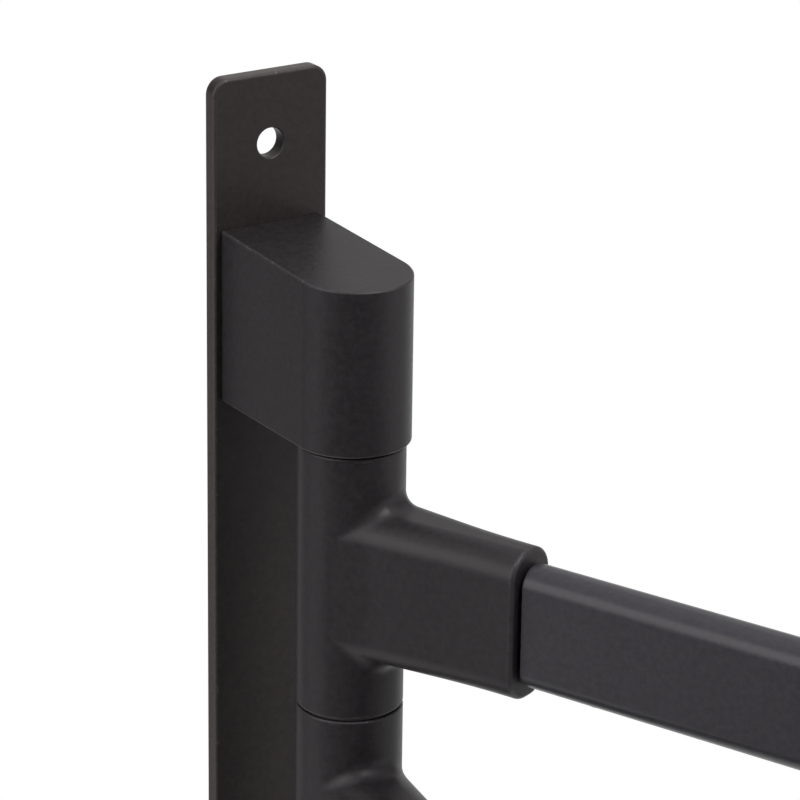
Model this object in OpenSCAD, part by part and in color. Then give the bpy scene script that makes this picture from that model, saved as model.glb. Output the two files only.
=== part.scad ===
// Swing arm towel bar: a wall plate with two brackets, a fixed pivot shaft between them and three arms
// that swing on the shaft. The origin is the middle of the plate's back face. +Z is up, +X runs along the
// wall and the arms reach out towards -Y. All lengths are in millimetres, all angles in degrees.

/* [Wall plate] */
// Width of the wall plate
plate_w = 20; // [18.5:0.5:40]
// Thickness of the wall plate
plate_t = 2.4; // [2.3:0.1:6]
// Radius of the plate's four corners
plate_corner_r = 2.6; // [1:0.1:8]
// Height of the bare tab above the top bracket and below the bottom one
tab_h = 23.5; // [18:0.05:60]
// Diameter of the two wall screw holes
wall_hole_d = 4.6; // [3.5:0.1:8]
// Distance from the plate's end to the middle of a wall screw hole
wall_hole_inset = 11; // [7:0.5:13]

/* [Brackets] */
// Height of each bracket
bracket_h = 27.5; // [26:0.1:45]
// Radius of the bracket's round nose about the pivot axis
bracket_nose_r = 9.0; // [7.5:0.05:9.25]
// Width of the bracket where it meets the plate
bracket_root_w = 17.65; // [14:0.05:18.5]
// How far the outer face of each bracket falls from the plate to the tip of the nose
bracket_fall = 1.5; // [0:0.1:3]
// Distance from the plate's front face to the pivot axis
pivot_reach = 23.6; // [21:0.05:40]

/* [Pivot] */
// Diameter of the pivot shaft
shaft_d = 8; // [6.5:0.1:8.6]
// Depth to which the shaft stands in each bracket
shaft_seat = 14; // [8:0.5:15]
// Outer diameter of the plain bushes in the arm hubs
bush_od = 11; // [10:0.1:13]
// Length of each bush
bush_l = 12; // [6:0.5:18]

/* [Arms] */
// Radius of the arm hubs
hub_r = 8.25; // [8:0.05:9]
// Height of each arm hub
hub_h = 42.4; // [42:0.05:60]
// Gap between two hubs, filled by a thrust washer
hub_gap = 0.4; // [0.2:0.05:1]
// Distance from the pivot axis to the tip of an arm
arm_reach = 350; // [150:1:600]
// Direction of the top arm, from +X
top_arm_angle = -68.8; // [-180:0.1:0]
// Direction of the middle arm, from +X
middle_arm_angle = -94.4; // [-180:0.1:0]
// Direction of the bottom arm, from +X
bottom_arm_angle = -120; // [-180:0.1:0]

/* [Arm root] */
// Distance from the pivot axis to the root's end face
root_reach = 32.95; // [28:0.05:60]
// Width of the root at its end face
root_w = 9.8; // [9:0.05:11]
// Height of the root at its end face
root_h = 23.7; // [23:0.1:28]
// Corner radius of the root's section
root_corner_r = 4.3; // [2:0.1:4.4]
// Extra width of the root where it leaves the hub
root_flare_w = 2.9; // [0:0.1:3.2]
// Extra height of the root where it leaves the hub
root_flare_h = 0.4; // [0:0.1:3]
// Radius of the fillet between the hub and the root, above and below
root_fillet_r = 2.65; // [1:0.05:3.5]
// Radius of the rounded edge of the root's end face
root_rim_r = 0.65; // [0.2:0.05:1]

/* [Bars] */
// Height of the flat oval bar
bar_h = 19.3; // [16:0.1:21]
// Width of the flat oval bar
bar_w = 6.8; // [6.7:0.1:8]
// Corner radius of the bar's section
bar_corner_r = 3.1; // [2.3:0.05:3.3]
// Wall of the bar tube
bar_wall = 1; // [0.6:0.05:1.1]
// Shadow gap between the root's end face and the bar
bar_reveal = 0.6; // [0.2:0.05:2]
// Length of the tenon that the bar slides on to
tenon_l = 24; // [16:0.5:40]
// Thickness of the end cap's head
cap_t = 2.6; // [1.5:0.1:6]
// Length of the end cap's plug inside the bar
cap_plug_l = 9; // [4:0.5:20]

/* [Screws] */
// Diameter of the screws that hold the brackets to the plate
bracket_screw_d = 4; // [3:0.1:4.2]
// Countersunk head diameter of the bracket screws
bracket_screw_head_d = 7.6; // [7:0.1:8]
// Length of the bracket screws
bracket_screw_l = 13; // [8:0.5:16]
// Distance between the two screws of a bracket
bracket_screw_pitch = 13; // [9:0.5:15]
// Diameter of the screw in the foot of the shaft
shaft_screw_d = 5; // [4:0.1:5]
// Head diameter of the shaft screw
shaft_screw_head_d = 8.5; // [8:0.1:10]
// Head height of the shaft screw
shaft_screw_head_h = 4.4; // [3:0.1:5.5]
// Depth of the shaft screw's thread in the shaft
shaft_screw_grip = 11; // [6:0.5:14]
// Diameter of the set screw under each bar
bar_screw_d = 3; // [2.5:0.1:3.2]
// Length of the set screw under each bar
bar_screw_l = 7; // [4:0.5:9]

/* [Hidden] */
// clearances between pieces, each on one side
running_play = 0.05;
fixed_play = 0.02;
thread_play = 0.05;
slide_play = 0.1;
washer_play = 0.02;
screw_hole_play = 0.25;
head_play = 0.4;
shaft_end_play = 0.4;
// small sizes of single pieces
washer_inset = 0.7;
washer_bore_play = 0.2;
hub_edge = 0.3;
shaft_edge = 0.6;
hub_relief = 0.6;
bore_run_out = 1;
wrench_depth_share = 0.5;
wrench_width_share = 0.5;
bar_screw_place_share = 0.5;
// overrun of every cut
over = 1;
// smoothness of round features
round_fn = 72;
corner_steps = 8;
fillet_steps = 5;
flare_steps = 6;
rim_steps = 3;
// shares that shape the arm's root: how deep it starts in the hub, where its flare ends, how far its
// fillet may spread round the hub, and how far the first ring is sunk below the hub's surface
root_start_share = 0.12;
flare_end_share = 0.87;
spread_share = 0.975;
sink_share = 0.015;

pivot_y = -(plate_t + pivot_reach);
stack_h = 3 * hub_h + 4 * hub_gap;
plate_h = stack_h + 2 * bracket_h + 2 * tab_h;
bracket_z = stack_h / 2 + bracket_h / 2;
hole_z = plate_h / 2 - wall_hole_inset;
hub_pitch = hub_h + hub_gap;
arm_angles = [top_arm_angle, middle_arm_angle, bottom_arm_angle];
bore_r = shaft_d / 2 + running_play;
washer_od = 2 * (hub_r - washer_inset);
tenon_w = bar_w - 2 * bar_wall - 2 * slide_play;
tenon_h = bar_h - 2 * bar_wall - 2 * slide_play;
tenon_corner_r = bar_corner_r - bar_wall - slide_play;
bar_start = root_reach + bar_reveal;
bar_end = arm_reach - cap_t;
bar_screw_x = bar_start + (tenon_l - bar_reveal) * bar_screw_place_share;
counterbore_h = shaft_screw_head_h + head_play + bracket_fall;
web_h = bracket_h - shaft_seat - counterbore_h;
head_cone_h = (bracket_screw_head_d - bracket_screw_d) / 2;

coat = "#2f2d2e";
coat_bar = "#343233";
steel = "#a7a9ac";
nylon = "#1b1b1c";
zinc = "#8c8e90";

// Height of the middle of hub i, counted from the top
function hub_z(i) = stack_h / 2 - hub_gap - hub_h / 2 - i * hub_pitch;

// Height of the middle of washer j, counted from the top
function washer_z(j) = stack_h / 2 - hub_gap / 2 - j * hub_pitch;

// A rectangle with round corners, drawn about its middle
module round_rect(w, h, r) {
    square([w, h - 2 * r], center = true);
    square([w - 2 * r, h], center = true);
    for (sx = [-1, 1], sy = [-1, 1])
        translate([sx * (w / 2 - r), sy * (h / 2 - r)]) circle(r = r, $fn = round_fn);
}

// A round rectangle, w wide in Y and h high in Z, that runs from x0 to x1
module bar_length(w, h, r, x0, x1) {
    translate([x0, 0, 0]) rotate([90, 0, 90]) linear_extrude(x1 - x0) round_rect(w, h, r);
}

// A hexagon recess or prism, its width across the corners given
module hexagon(w, h) {
    cylinder(h = h, d = w, $fn = 6);
}

// Frame of arm i: the origin on the pivot axis at the hub's middle, +X out along the bar
module arm_frame(i) {
    translate([0, pivot_y, hub_z(i)]) rotate(arm_angles[i]) children();
}

// Places of a bracket's two screws, pointing from the plate's back towards -Y
module bracket_screw_places(z) {
    for (s = [-1, 1])
        translate([0, 0, z + s * bracket_screw_pitch / 2]) rotate([90, 0, 0]) children();
}

module wall_plate() {
    color(coat) difference() {
        rotate([90, 0, 0]) linear_extrude(plate_t) round_rect(plate_w, plate_h, plate_corner_r);
        for (s = [-1, 1])
            translate([0, over, s * hole_z]) rotate([90, 0, 0])
                cylinder(h = plate_t + 2 * over, d = wall_hole_d, $fn = round_fn);
        for (s = [-1, 1]) bracket_screw_places(s * bracket_z) {
            translate([0, 0, -over]) cylinder(h = plate_t + 2 * over,
                r = bracket_screw_d / 2 + fixed_play, $fn = round_fn);
            cylinder(h = head_cone_h, r1 = bracket_screw_head_d / 2 + fixed_play,
                r2 = bracket_screw_d / 2 + fixed_play, $fn = round_fn);
        }
    }
}

// The body of a bracket about its own middle, with the holes for its screws. It is drawn too high on its
// outer side, which is up (side = 1) or down (side = -1), and cut along the falling outer face
module bracket_body(side) {
    nose_y = pivot_y - bracket_nose_r;
    slope = bracket_fall / (pivot_reach + bracket_nose_r);
    difference() {
        translate([0, 0, -bracket_h / 2 - (side < 0 ? over : 0)]) union() {
            translate([0, pivot_y, 0]) cylinder(h = bracket_h + over, r = bracket_nose_r, $fn = round_fn);
            linear_extrude(bracket_h + over) polygon([
                [-bracket_root_w / 2, -plate_t], [bracket_root_w / 2, -plate_t],
                [bracket_nose_r, pivot_y], [-bracket_nose_r, pivot_y]
            ]);
        }
        translate([-bracket_nose_r - over, 0, 0]) rotate([90, 0, 90])
            linear_extrude(2 * (bracket_nose_r + over)) polygon([
                [over - plate_t, side * (bracket_h / 2 + over * slope)],
                [nose_y - over, side * (bracket_h / 2 - bracket_fall - over * slope)],
                [nose_y - over, side * (bracket_h / 2 + 2 * over)],
                [over - plate_t, side * (bracket_h / 2 + 2 * over)]
            ]);
        bracket_screw_places(0)
            cylinder(h = bracket_screw_l + bore_run_out,
                r = bracket_screw_d / 2 + thread_play, $fn = round_fn);
    }
}

module top_bracket() {
    color(coat) translate([0, 0, bracket_z]) difference() {
        bracket_body(1);
        translate([0, pivot_y, -bracket_h / 2 - over])
            cylinder(h = shaft_seat + over, r = shaft_d / 2 + fixed_play, $fn = round_fn);
    }
}

module bottom_bracket() {
    color(coat) translate([0, 0, -bracket_z]) difference() {
        bracket_body(-1);
        translate([0, pivot_y, bracket_h / 2 - shaft_seat])
            cylinder(h = shaft_seat + over, r = shaft_d / 2 + fixed_play, $fn = round_fn);
        translate([0, pivot_y, -bracket_h / 2 - over])
            cylinder(h = bracket_h, r = shaft_screw_d / 2 + screw_hole_play, $fn = round_fn);
        translate([0, pivot_y, -bracket_h / 2 - over])
            cylinder(h = counterbore_h + over, r = shaft_screw_head_d / 2 + screw_hole_play, $fn = round_fn);
    }
}

// The two countersunk screws of the bracket at height z
module bracket_screws(z) {
    color(zinc) bracket_screw_places(z) difference() {
        union() {
            cylinder(h = bracket_screw_l, d = bracket_screw_d, $fn = round_fn);
            cylinder(h = head_cone_h, d1 = bracket_screw_head_d, d2 = bracket_screw_d, $fn = round_fn);
        }
        translate([0, 0, -over])
            hexagon(bracket_screw_head_d * wrench_width_share, over + head_cone_h * wrench_depth_share);
    }
}

module top_bracket_screws() {
    bracket_screws(bracket_z);
}

module bottom_bracket_screws() {
    bracket_screws(-bracket_z);
}

module pivot_shaft() {
    z0 = -stack_h / 2 - shaft_seat;
    z1 = stack_h / 2 + shaft_seat - shaft_end_play;
    color(steel) translate([0, pivot_y, 0]) difference() {
        rotate_extrude($fn = round_fn) polygon([
            [0, z0], [shaft_d / 2 - shaft_edge, z0], [shaft_d / 2, z0 + shaft_edge],
            [shaft_d / 2, z1 - shaft_edge], [shaft_d / 2 - shaft_edge, z1], [0, z1]
        ]);
        translate([0, 0, z0 - over])
            cylinder(h = over + shaft_screw_grip + bore_run_out,
                r = shaft_screw_d / 2 + thread_play, $fn = round_fn);
    }
}

module shaft_screw() {
    head_top = -stack_h / 2 - bracket_h + counterbore_h;
    color(zinc) translate([0, pivot_y, head_top]) difference() {
        union() {
            cylinder(h = web_h + shaft_screw_grip, d = shaft_screw_d, $fn = round_fn);
            translate([0, 0, -shaft_screw_head_h])
                cylinder(h = shaft_screw_head_h, d = shaft_screw_head_d, $fn = round_fn);
        }
        translate([0, 0, -shaft_screw_head_h - over])
            hexagon(shaft_screw_head_d * wrench_width_share,
                over + shaft_screw_head_h * wrench_depth_share);
    }
}

module thrust_washer(j) {
    t = hub_gap - 2 * washer_play;
    color(nylon) translate([0, pivot_y, washer_z(j) - t / 2]) difference() {
        cylinder(h = t, d = washer_od, $fn = round_fn);
        translate([0, 0, -over])
            cylinder(h = t + 2 * over, r = shaft_d / 2 + washer_bore_play, $fn = round_fn);
    }
}

// One ring of points round the arm's root. The section is 2 half_w wide and 2 half_h high, spread by
// spread_w and spread_h, and lies at x0 plus, where it follows the hub, the hub's own surface
function root_ring(half_w, half_h, r, spread_w, spread_h, x0, on_hub) = [
    for (k = [0:3], j = [0:corner_steps])
        let (
            a = 90 * k + 90 * j / corner_steps,
            side = k == 0 || k == 3 ? 1 : -1,
            level = k < 2 ? 1 : -1,
            y = side * (half_w - r) + (r + spread_w) * cos(a),
            z = level * (half_h - r) + (r + spread_h) * sin(a)
        )
        [x0 + (on_hub ? sqrt(hub_r * hub_r - y * y) : 0), y, z]
];

// Half width and half height of the root where its flare has the share u left
function root_half_w(u) = root_w / 2 + root_flare_w / 2 * u * u;
function root_half_h(u) = root_h / 2 + root_flare_h / 2 * u * u;

// The solid of the arm's root: a fillet that leaves the hub, a flare that dies out, and a rounded rim
module arm_root() {
    x_flare = hub_r + root_fillet_r;
    x_end = root_reach - root_rim_r;
    flare_end = root_reach * flare_end_share;
    spread_w = hub_r * spread_share - root_half_w(1);
    x_start = hub_r * root_start_share;
    sink = hub_r * sink_share;
    rings = [
        root_ring(root_half_w(1), root_half_h(1), root_corner_r, spread_w, root_fillet_r, x_start, false),
        for (k = [0:fillet_steps]) let (a = 90 * k / fillet_steps)
            root_ring(root_half_w(1), root_half_h(1), root_corner_r,
                spread_w * (1 - sin(a)), root_fillet_r * (1 - sin(a)),
                root_fillet_r * (1 - cos(a)) - (k == 0 ? sink : 0), true),
        for (k = [1:flare_steps])
            let (
                x = x_flare + (x_end - x_flare) * k / flare_steps,
                u = max(0, (flare_end - x) / (flare_end - x_flare))
            )
            root_ring(root_half_w(u), root_half_h(u), root_corner_r, 0, 0, x, false),
        for (k = [1:rim_steps]) let (a = 90 * k / rim_steps)
            root_ring(root_w / 2, root_h / 2, root_corner_r,
                -root_rim_r * (1 - cos(a)), -root_rim_r * (1 - cos(a)),
                x_end + root_rim_r * sin(a), false)
    ];
    n = len(rings[0]);
    m = len(rings);
    polyhedron(
        points = [for (ring = rings, p = ring) p],
        faces = concat(
            [[for (j = [0:n - 1]) j]],
            [[for (j = [0:n - 1]) (m - 1) * n + n - 1 - j]],
            [for (k = [0:m - 2], j = [0:n - 1]) [k * n + j, (k + 1) * n + j, k * n + (j + 1) % n]],
            [for (k = [0:m - 2], j = [0:n - 1])
                [(k + 1) * n + j, (k + 1) * n + (j + 1) % n, k * n + (j + 1) % n]]
        )
    );
}

module arm_hub(i) {
    color(coat) arm_frame(i) difference() {
        union() {
            rotate_extrude($fn = round_fn) polygon([
                [0, -hub_h / 2], [hub_r - hub_edge, -hub_h / 2], [hub_r, -hub_h / 2 + hub_edge],
                [hub_r, hub_h / 2 - hub_edge], [hub_r - hub_edge, hub_h / 2], [0, hub_h / 2]
            ]);
            arm_root();
            bar_length(tenon_w, tenon_h, tenon_corner_r, root_reach - root_rim_r, root_reach + tenon_l);
        }
        translate([0, 0, -hub_h / 2 - over])
            cylinder(h = hub_h + 2 * over, r = shaft_d / 2 + hub_relief, $fn = round_fn);
        for (s = [-1, 1])
            translate([0, 0, s * (hub_h / 2 - bush_l / 2 + over / 2)])
                cylinder(h = bush_l + over, r = bush_od / 2 + fixed_play, center = true, $fn = round_fn);
        translate([bar_screw_x, 0, -bar_h / 2])
            cylinder(h = bar_screw_l + bore_run_out, r = bar_screw_d / 2 + thread_play, $fn = round_fn);
    }
}

// A plain bush in the upper end (s = 1) or the lower end (s = -1) of hub i
module hub_bush(i, s) {
    color(nylon) arm_frame(i) translate([0, 0, s * (hub_h - bush_l) / 2]) difference() {
        cylinder(h = bush_l, d = bush_od, center = true, $fn = round_fn);
        cylinder(h = bush_l + 2 * over, r = bore_r, center = true, $fn = round_fn);
    }
}

module arm_bar(i) {
    color(coat_bar) arm_frame(i) difference() {
        bar_length(bar_w, bar_h, bar_corner_r, bar_start, bar_end);
        bar_length(bar_w - 2 * bar_wall, bar_h - 2 * bar_wall, bar_corner_r - bar_wall,
            bar_start - over, bar_end + over);
        translate([bar_screw_x, 0, -bar_h / 2 - over])
            cylinder(h = bar_wall + 2 * over, r = bar_screw_d / 2 + thread_play, $fn = round_fn);
    }
}

module arm_end_cap(i) {
    color(coat_bar) arm_frame(i) {
        bar_length(bar_w, bar_h, bar_corner_r, bar_end, arm_reach);
        bar_length(tenon_w, tenon_h, tenon_corner_r, bar_end - cap_plug_l, bar_end);
    }
}

// The set screw that holds the bar on its tenon, flush with the bar's underside
module arm_set_screw(i) {
    color(zinc) arm_frame(i) translate([bar_screw_x, 0, -bar_h / 2]) difference() {
        cylinder(h = bar_screw_l, d = bar_screw_d, $fn = round_fn);
        translate([0, 0, -over])
            hexagon(bar_screw_d * wrench_width_share, over + bar_screw_d * wrench_depth_share);
    }
}

wall_plate();
top_bracket();
bottom_bracket();
top_bracket_screws();
bottom_bracket_screws();
pivot_shaft();
shaft_screw();
thrust_washer(0);  // thrust_washer_1
thrust_washer(1);  // thrust_washer_2
thrust_washer(2);  // thrust_washer_3
thrust_washer(3);  // thrust_washer_4
arm_hub(0);  // top_arm_hub
hub_bush(0, 1);  // top_arm_upper_bush
hub_bush(0, -1);  // top_arm_lower_bush
arm_bar(0);  // top_arm_bar
arm_end_cap(0);  // top_arm_end_cap
arm_set_screw(0);  // top_arm_set_screw
arm_hub(1);  // middle_arm_hub
hub_bush(1, 1);  // middle_arm_upper_bush
hub_bush(1, -1);  // middle_arm_lower_bush
arm_bar(1);  // middle_arm_bar
arm_end_cap(1);  // middle_arm_end_cap
arm_set_screw(1);  // middle_arm_set_screw
arm_hub(2);  // bottom_arm_hub
hub_bush(2, 1);  // bottom_arm_upper_bush
hub_bush(2, -1);  // bottom_arm_lower_bush
arm_bar(2);  // bottom_arm_bar
arm_end_cap(2);  // bottom_arm_end_cap
arm_set_screw(2);  // bottom_arm_set_screw
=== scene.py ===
"""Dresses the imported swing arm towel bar: castings and bars in a satin black coat, with their steel and nylon
fittings, under soft studio light. Sizes are in millimetres until a piece is finished, then in metres."""

import math

import bmesh
import bpy
from mathutils import Matrix, Vector


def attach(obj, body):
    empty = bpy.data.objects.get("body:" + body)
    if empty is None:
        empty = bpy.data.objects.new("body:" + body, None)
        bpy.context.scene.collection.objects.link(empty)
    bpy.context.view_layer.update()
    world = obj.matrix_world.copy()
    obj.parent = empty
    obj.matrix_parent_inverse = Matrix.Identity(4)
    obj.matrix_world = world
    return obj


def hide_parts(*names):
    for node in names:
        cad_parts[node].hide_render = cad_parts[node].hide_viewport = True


MM = 0.001

# Wall plate
PLATE_W = 20.0
PLATE_T = 2.4
PLATE_CORNER = 2.6
PLATE_ARRIS = 0.5
PLATE_BACK_ARRIS = 0.1
TAB_H = 23.5
WALL_HOLE_D = 4.6
WALL_HOLE_INSET = 11.0
WALL_HOLE_RIM = 0.35

# Brackets
BRACKET_ENDS = {"top": 1, "bottom": -1}
BRACKET_H = 27.5
NOSE_R = 9.0
BRACKET_ROOT_W = 17.65
BRACKET_FALL = 1.5
BRACKET_ARRIS = 0.35
COUNTERBORE_EDGE = 0.2
PIVOT_REACH = 23.6

# Pivot
SHAFT_D = 8.0
SHAFT_SEAT = 14.0
BUSH_D = 11.0
BUSH_L = 12.0
HUB_RELIEF = 0.6

# Arms
HUB_R = 8.25
HUB_H = 42.4
HUB_GAP = 0.4
HUB_EDGE = 0.3
ARM_REACH = 350.0
ARM_TURNS = {"top": -68.8, "middle": -94.4, "bottom": -120.0}

# Arm root: the casting between a hub and its bar. ROOT_SIDE is the long taper of its sides and ROOT_LEAD the
# lead into the hub: each is even up to the first place, has died out at the second, and has the third number
# as its slope. ROOT_FLARE_H is what the root gains in height at the hub, ROOT_BLEND its fillet's least reach
ROOT_REACH = 32.95
ROOT_W = 9.8
ROOT_H = 23.7
ROOT_CORNER = 4.3
ROOT_SIDE = (19.0, 32.3, 0.098)
ROOT_LEAD = (6.5, 9.0, 0.135)
ROOT_FLARE_H = 0.4
ROOT_FILLET = 2.65
ROOT_BLEND = 0.6
ROOT_RIM = 0.65
ROOT_START_SHARE = 0.975
FLARE_END_SHARE = 0.87

# Bars and their end caps
BAR_H = 19.3
BAR_W = 6.8
BAR_CORNER = 3.1
BAR_WALL = 1.0
BAR_REVEAL = 0.6
BAR_EDGE = 0.2
TENON_L = 24.0
CAP_T = 2.6
CAP_EDGE = 1.1
CAP_SEAM = 0.15
CAP_PLUG_L = 9.0
CAP_PLUG_LEAD = 0.8
CAP_PLUG_TAPER = 0.5

# Screws
BRACKET_SCREW_D = 4.0
BRACKET_SCREW_HEAD_D = 7.6
BRACKET_SCREW_L = 13.0
BRACKET_SCREW_PITCH = 13.0
BRACKET_SCREW_SINK = 0.02
BRACKET_SCREW_EDGE_W = 0.3
BRACKET_SCREW_EDGE_H = 0.2
BRACKET_SCREW_TIP = 0.6
BRACKET_SCREW_RUN_OUT = 1.0
SHAFT_SCREW_D = 5.0
SHAFT_SCREW_HEAD_D = 8.5
SHAFT_SCREW_HEAD_H = 4.4
SHAFT_SCREW_GRIP = 11.0
SHAFT_SCREW_EDGE = 0.5
SHAFT_SCREW_EDGE_DIP = 0.15
SHAFT_SCREW_TIP = 0.8
SET_SCREW_D = 3.0
SET_SCREW_L = 7.0
SET_SCREW_EDGE = 0.25
SET_SCREW_TIP = 0.7

# Clearances
FIT = 0.02
THREAD_FIT = 0.05
SLIDE_FIT = 0.1
HOLE_FIT = 0.25
HEAD_FIT = 0.4

# Places that follow from the sizes
PIVOT_Y = -(PLATE_T + PIVOT_REACH)
WASHERS = len(ARM_TURNS) + 1
STACK_H = len(ARM_TURNS) * HUB_H + WASHERS * HUB_GAP
PLATE_H = STACK_H + 2 * BRACKET_H + 2 * TAB_H
BRACKET_Z = (STACK_H + BRACKET_H) / 2
BRACKET_SLOPE = BRACKET_FALL / (PIVOT_REACH + NOSE_R)
SCREW_CONE_H = (BRACKET_SCREW_HEAD_D - BRACKET_SCREW_D) / 2
COUNTERBORE_H = SHAFT_SCREW_HEAD_H + HEAD_FIT + BRACKET_FALL
WALL_HOLE_Z = PLATE_H / 2 - WALL_HOLE_INSET
HUB_PITCH = HUB_H + HUB_GAP
BAR_START = ROOT_REACH + BAR_REVEAL
BAR_END = ARM_REACH - CAP_T
SET_SCREW_X = BAR_START + (TENON_L - BAR_REVEAL) / 2
UNDER_BAR = Matrix.Translation((SET_SCREW_X, 0, -BAR_H / 2))
TENON_HALF_W = BAR_W / 2 - BAR_WALL - SLIDE_FIT
TENON_HALF_H = BAR_H / 2 - BAR_WALL - SLIDE_FIT
TENON_CORNER = BAR_CORNER - BAR_WALL - SLIDE_FIT

# Finishes: the dark and the light tone that each one mottles between
COAT_TONES = ((0.0102, 0.0084, 0.0097), (0.0212, 0.0182, 0.0204))
PLATE_TONES = ((0.0158, 0.0117, 0.0118), (0.0282, 0.0222, 0.0224))
BAR_TONES = ((0.0245, 0.0225, 0.0275), (0.0385, 0.0362, 0.0425))
CAP_TONES = ((0.025, 0.025, 0.026), (0.033, 0.033, 0.034))
NYLON_TONES = ((0.07, 0.07, 0.071), (0.09, 0.09, 0.092))
STEEL_TONES = ((0.46, 0.46, 0.47), (0.6, 0.6, 0.61))
ZINC_TONES = ((0.4, 0.41, 0.42), (0.56, 0.56, 0.55))
# The plate's narrow sides are painted this lighter, warmer tone: a painted highlight for the bright strip they
# catch
PLATE_SIDE_HIGHLIGHT_TONE = (0.052, 0.038, 0.037)
# Worn chips on the arrises, and the painted highlight that lifts every arris, both mix towards this tone
WORN_AND_HIGHLIGHT_TONE = (0.16, 0.155, 0.16)
COAT_GLOSS = 0.36
COAT_TINT = (1.0, 0.96, 0.985, 1.0)

# Sizes of the blots in the finishes, and the depth of their relief
DRIFT_SIZE = 9.0
MOTTLE_SIZE = 1.0
PEBBLE_SIZE = 0.24
CHIP_SIZE = 0.7
PLASTIC_CLOUD_SIZE = 4.0
PLASTIC_GRAIN_SIZE = 0.12
STEEL_CLOUD_SIZE = 2.5
STEEL_RING_SCALE = 1200.0
PEBBLE_DEPTH = 0.03
PLASTIC_GRAIN_DEPTH = 0.006
STEEL_RING_DEPTH = 0.002
# Width over which the painted highlight on the plate's narrow sides fades in
SIDE_HIGHLIGHT_FADE = 0.25

# How much each pattern counts in a finish, and the middle of a pattern's range
TONE_BY_DRIFT = 0.3
TONE_BY_MOTTLE = 0.7
WEAR_BY_CHIPS = 0.4
# Share of the lighter line on every arris: partly wear, partly a painted highlight
WEAR_AND_HIGHLIGHT_BY_ARRIS = 0.1
# Painted highlight on the plate's narrow sides: its even share, and how much the mottle adds to it
SIDE_HIGHLIGHT_EVEN = 0.55
SIDE_HIGHLIGHT_BY_MOTTLE = 0.4
ROUGHNESS_BY_DRIFT = 0.08
ROUGHNESS_BY_MOTTLE = 0.06
ROUGHNESS_BY_SPARK = 0.1
ROUGHNESS_BY_CLOUD = 0.15
POLISH_BY_CHIPS = 0.1
RELIEF_BY_PEBBLE = 0.7
RELIEF_BY_MOTTLE = 0.3
MIDDLE = 0.5

# Studio. A zone of the room has a middle, and a nearness to it where it starts and where it is full. A lamp
# has an azimuth, an elevation, a size in metres and a power in watts
ROOM_LIGHT = 0.1
CEILING_LIGHT = 0.88
CEILING_ZONE = ((0, 0, 1), 0.3, 0.9)
BACKDROP_LIGHT = 0.84
BACKDROP_ZONE = ((0.504, 0.78, -0.37), 0.56, 0.95)
LAMP_AIM = Vector((0.03, -0.05, 0.05))
LAMP_DISTANCE = 1.2
LAMPS = {
    "left_box": (270, 20, 0.9, 7.2),
    "low_left_box": (246, -22, 0.9, 1.5),
    "front_right_box": (38, 0, 1.0, 2.5),
    "right_box": (75, -10, 1.2, 1.8),
    "top_box": (20, 55, 0.5, 7.5),
}
FLOOR_R = 1600.0
FLOOR_MIDDLE = (0.0, -100.0, -1200.0)
FLOOR_TONE = (0.8, 0.8, 0.8)
FLOOR_GLOW = (0.45, 0.45, 0.45)
WHITE = (1, 1, 1, 1)

# The photograph's view: azimuth, elevation and roll in degrees, then distance and shifts in millimetres
CAMERA_TURNS = (-33.138, 20.389, 0.802)
CAMERA_PLACE = (599.204, -19.356, 49.194)
CAMERA_LENS = 179.505
CAMERA_SENSOR = 36.0
CAMERA_CLIPS = (0.01, 20.0)

# Fineness of the meshes
ROUND_STEPS = 96
SET_SCREW_STEPS = 48
CORNER_STEPS = 40
FLAT_STEPS = 16
BAR_STEPS = 20
BAR_POINTS = 4 * (BAR_STEPS + 1)
PLATE_CORNER_STEPS = 14
ARRIS_STEPS = 4
FILLET_STEPS = 12
TAPER_STEPS = 24
ROOT_RIM_STEPS = 6
HUB_WALL_STEPS = 30
HUB_WALL_CROWDING = 1.3
CREASE_HALVINGS = 30
CREASE_STEP = 0.01
CAP_SEAM_STEPS = 3
CAP_EDGE_STEPS = 8
MERGE = 1e-4

# How far a tool reaches past the face that it cuts
OVERRUN = 1.0

# Degrees between two faces: from here on a bracket's edge is rounded, and an edge is shaded as a sharp one
CRISP = 30
SHARP = 40
SCREW_SHARP = 30

# A hole's rounded rim starts at this angle to the hole's wall, in degrees, and turns to it by these shares
RIM_START = 60
RIM_SHARES = (1, 0.67, 0.33, 0)

# How much more a large face turns the shading of its corners than a small one
FLAT_WEIGHT = 80

# A face narrower than this, on an edge rounded to less than this radius, counts as an arris that wears
# and that gets a painted highlight
ARRIS_W = 0.3
ARRIS_R = 1.0

# The ring round an arm's root: for each point its turn, and its shares of the flats across and up
ROOT_RING = []
for corner_number, (across, up) in enumerate(((1, 1), (-1, 1), (-1, -1), (1, -1))):
    for step in range(CORNER_STEPS + 1):
        ROOT_RING.append((math.pi / 2 * (corner_number + step / CORNER_STEPS), across, up))
    for step in range(1, FLAT_STEPS):
        lean = 1 - 2 * step / FLAT_STEPS
        flat = (across * lean, up) if corner_number % 2 == 0 else (across, up * lean)
        ROOT_RING.append((math.pi / 2 * (corner_number + 1), *flat))


# Shapes

def quarter_turns(steps):
    """The angles of a quarter turn, without the first one."""
    return [math.pi / 2 * k / steps for k in range(1, steps + 1)]


def new_verts(made):
    """The vertices that an operator made."""
    return [g for g in made["geom"] if isinstance(g, bmesh.types.BMVert)]


def edges_within(verts):
    """The edges that have both ends among these vertices."""
    inside = set(verts)
    edges = [e for v in verts for e in v.link_edges if e.verts[0] in inside and e.verts[1] in inside]
    return list(dict.fromkeys(edges))


def start_loop(bm, points, place):
    """A closed loop of edges at a place. Each vertex keeps its number in the loop."""
    number = bm.verts.layers.int.new("number")
    made = bmesh.ops.create_circle(bm, segments=points, radius=1)
    for k, v in enumerate(made["verts"]):
        v[number] = k
        v.co = place(k)
    return number, edges_within(made["verts"])


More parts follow.
